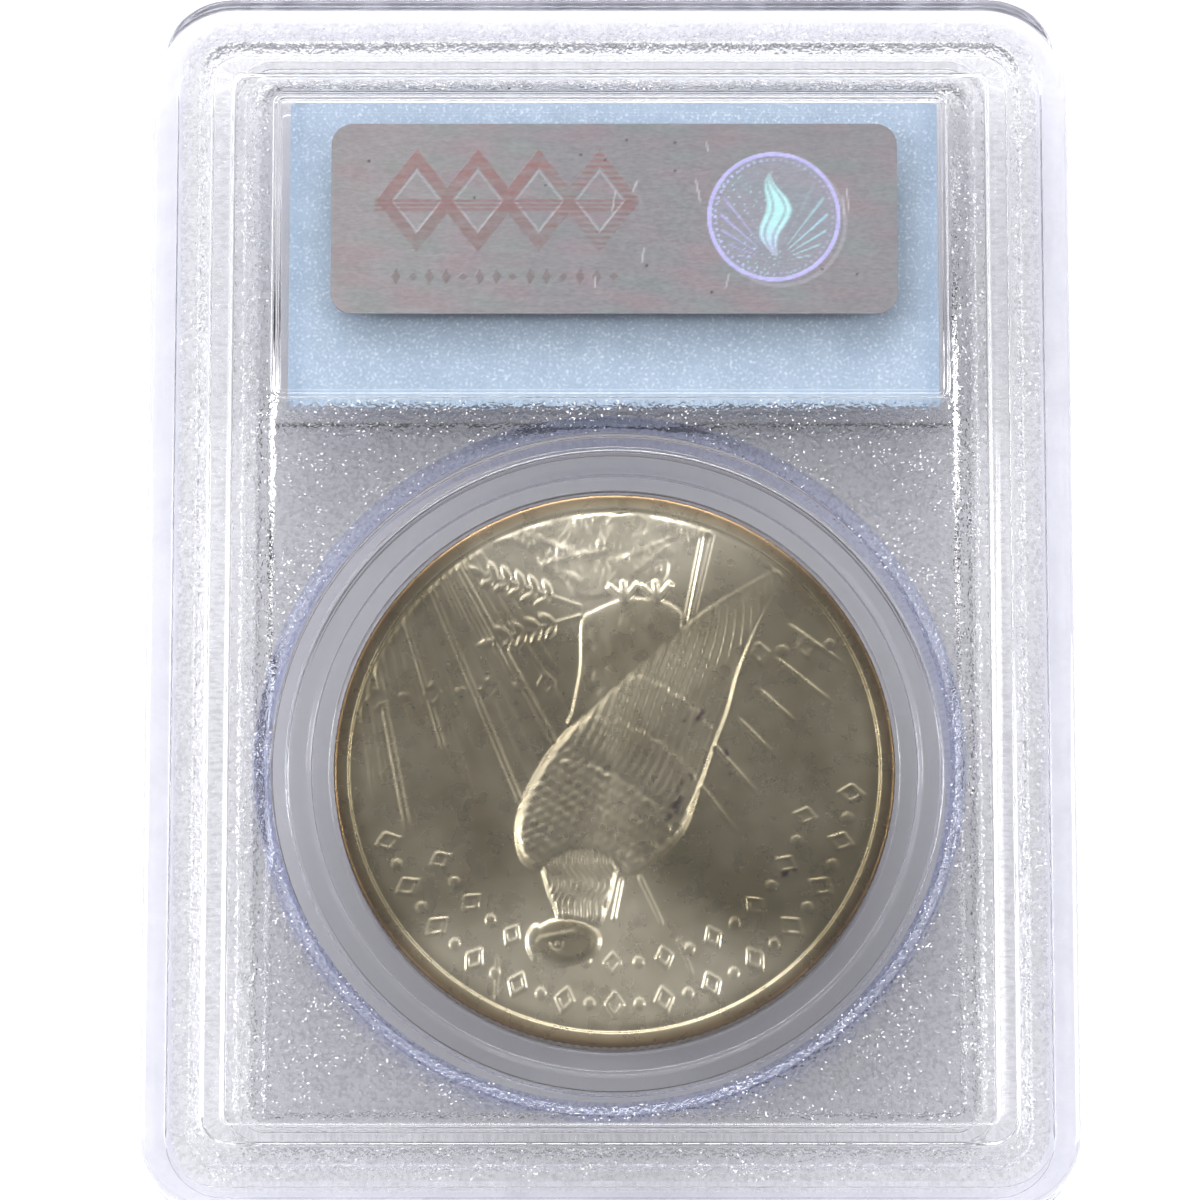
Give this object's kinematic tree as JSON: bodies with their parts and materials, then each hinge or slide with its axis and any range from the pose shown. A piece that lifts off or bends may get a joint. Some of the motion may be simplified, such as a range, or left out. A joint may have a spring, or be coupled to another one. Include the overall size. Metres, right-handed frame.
{
  "type": "graded coin slab",
  "caption": "Flat clear sealed holder for one large silver coin, with a soft ring round the coin, a blue label card and a foil hologram sticker on its back.",
  "frame": {"origin": "centre of the slab's outline, on the plane that the front rim rests on", "axes": "+X across the slab, +Y along the slab towards the label, +Z out of the back, the side with the hologram"},
  "size_m": [0.0632, 0.0846, 0.0079],
  "materials": {
    "clear_shell": "clear polystyrene, fine pebble texture on the faces, polished windows and edges",
    "clear_inner": "clear polished polystyrene",
    "clear_gasket": "clear soft vinyl",
    "silver": "struck silver with a light champagne tone, darker towards the rim",
    "label_paper": "light blue speckled card, matte",
    "hologram_foil": "grey diffraction foil with faint pink, green and violet bands"
  },
  "bodies": {
    "holder": {"front_outer_shell": "clear_shell", "back_outer_shell": "clear_shell", "front_inner_plate": "clear_inner", "back_inner_plate": "clear_inner", "coin_gasket_ring": "clear_gasket", "grade_label_card": "label_paper", "hologram_sticker": "hologram_foil"},
    "coin": {"coin": "silver"}
  },
  "joints": [
    {"name": "coin_turn", "type": "hinge", "parent": "holder", "child": "coin", "pos_m": [0.0003, -0.01185, 0.004], "axis": [0, 0, 1], "continuous": true}
  ]
}
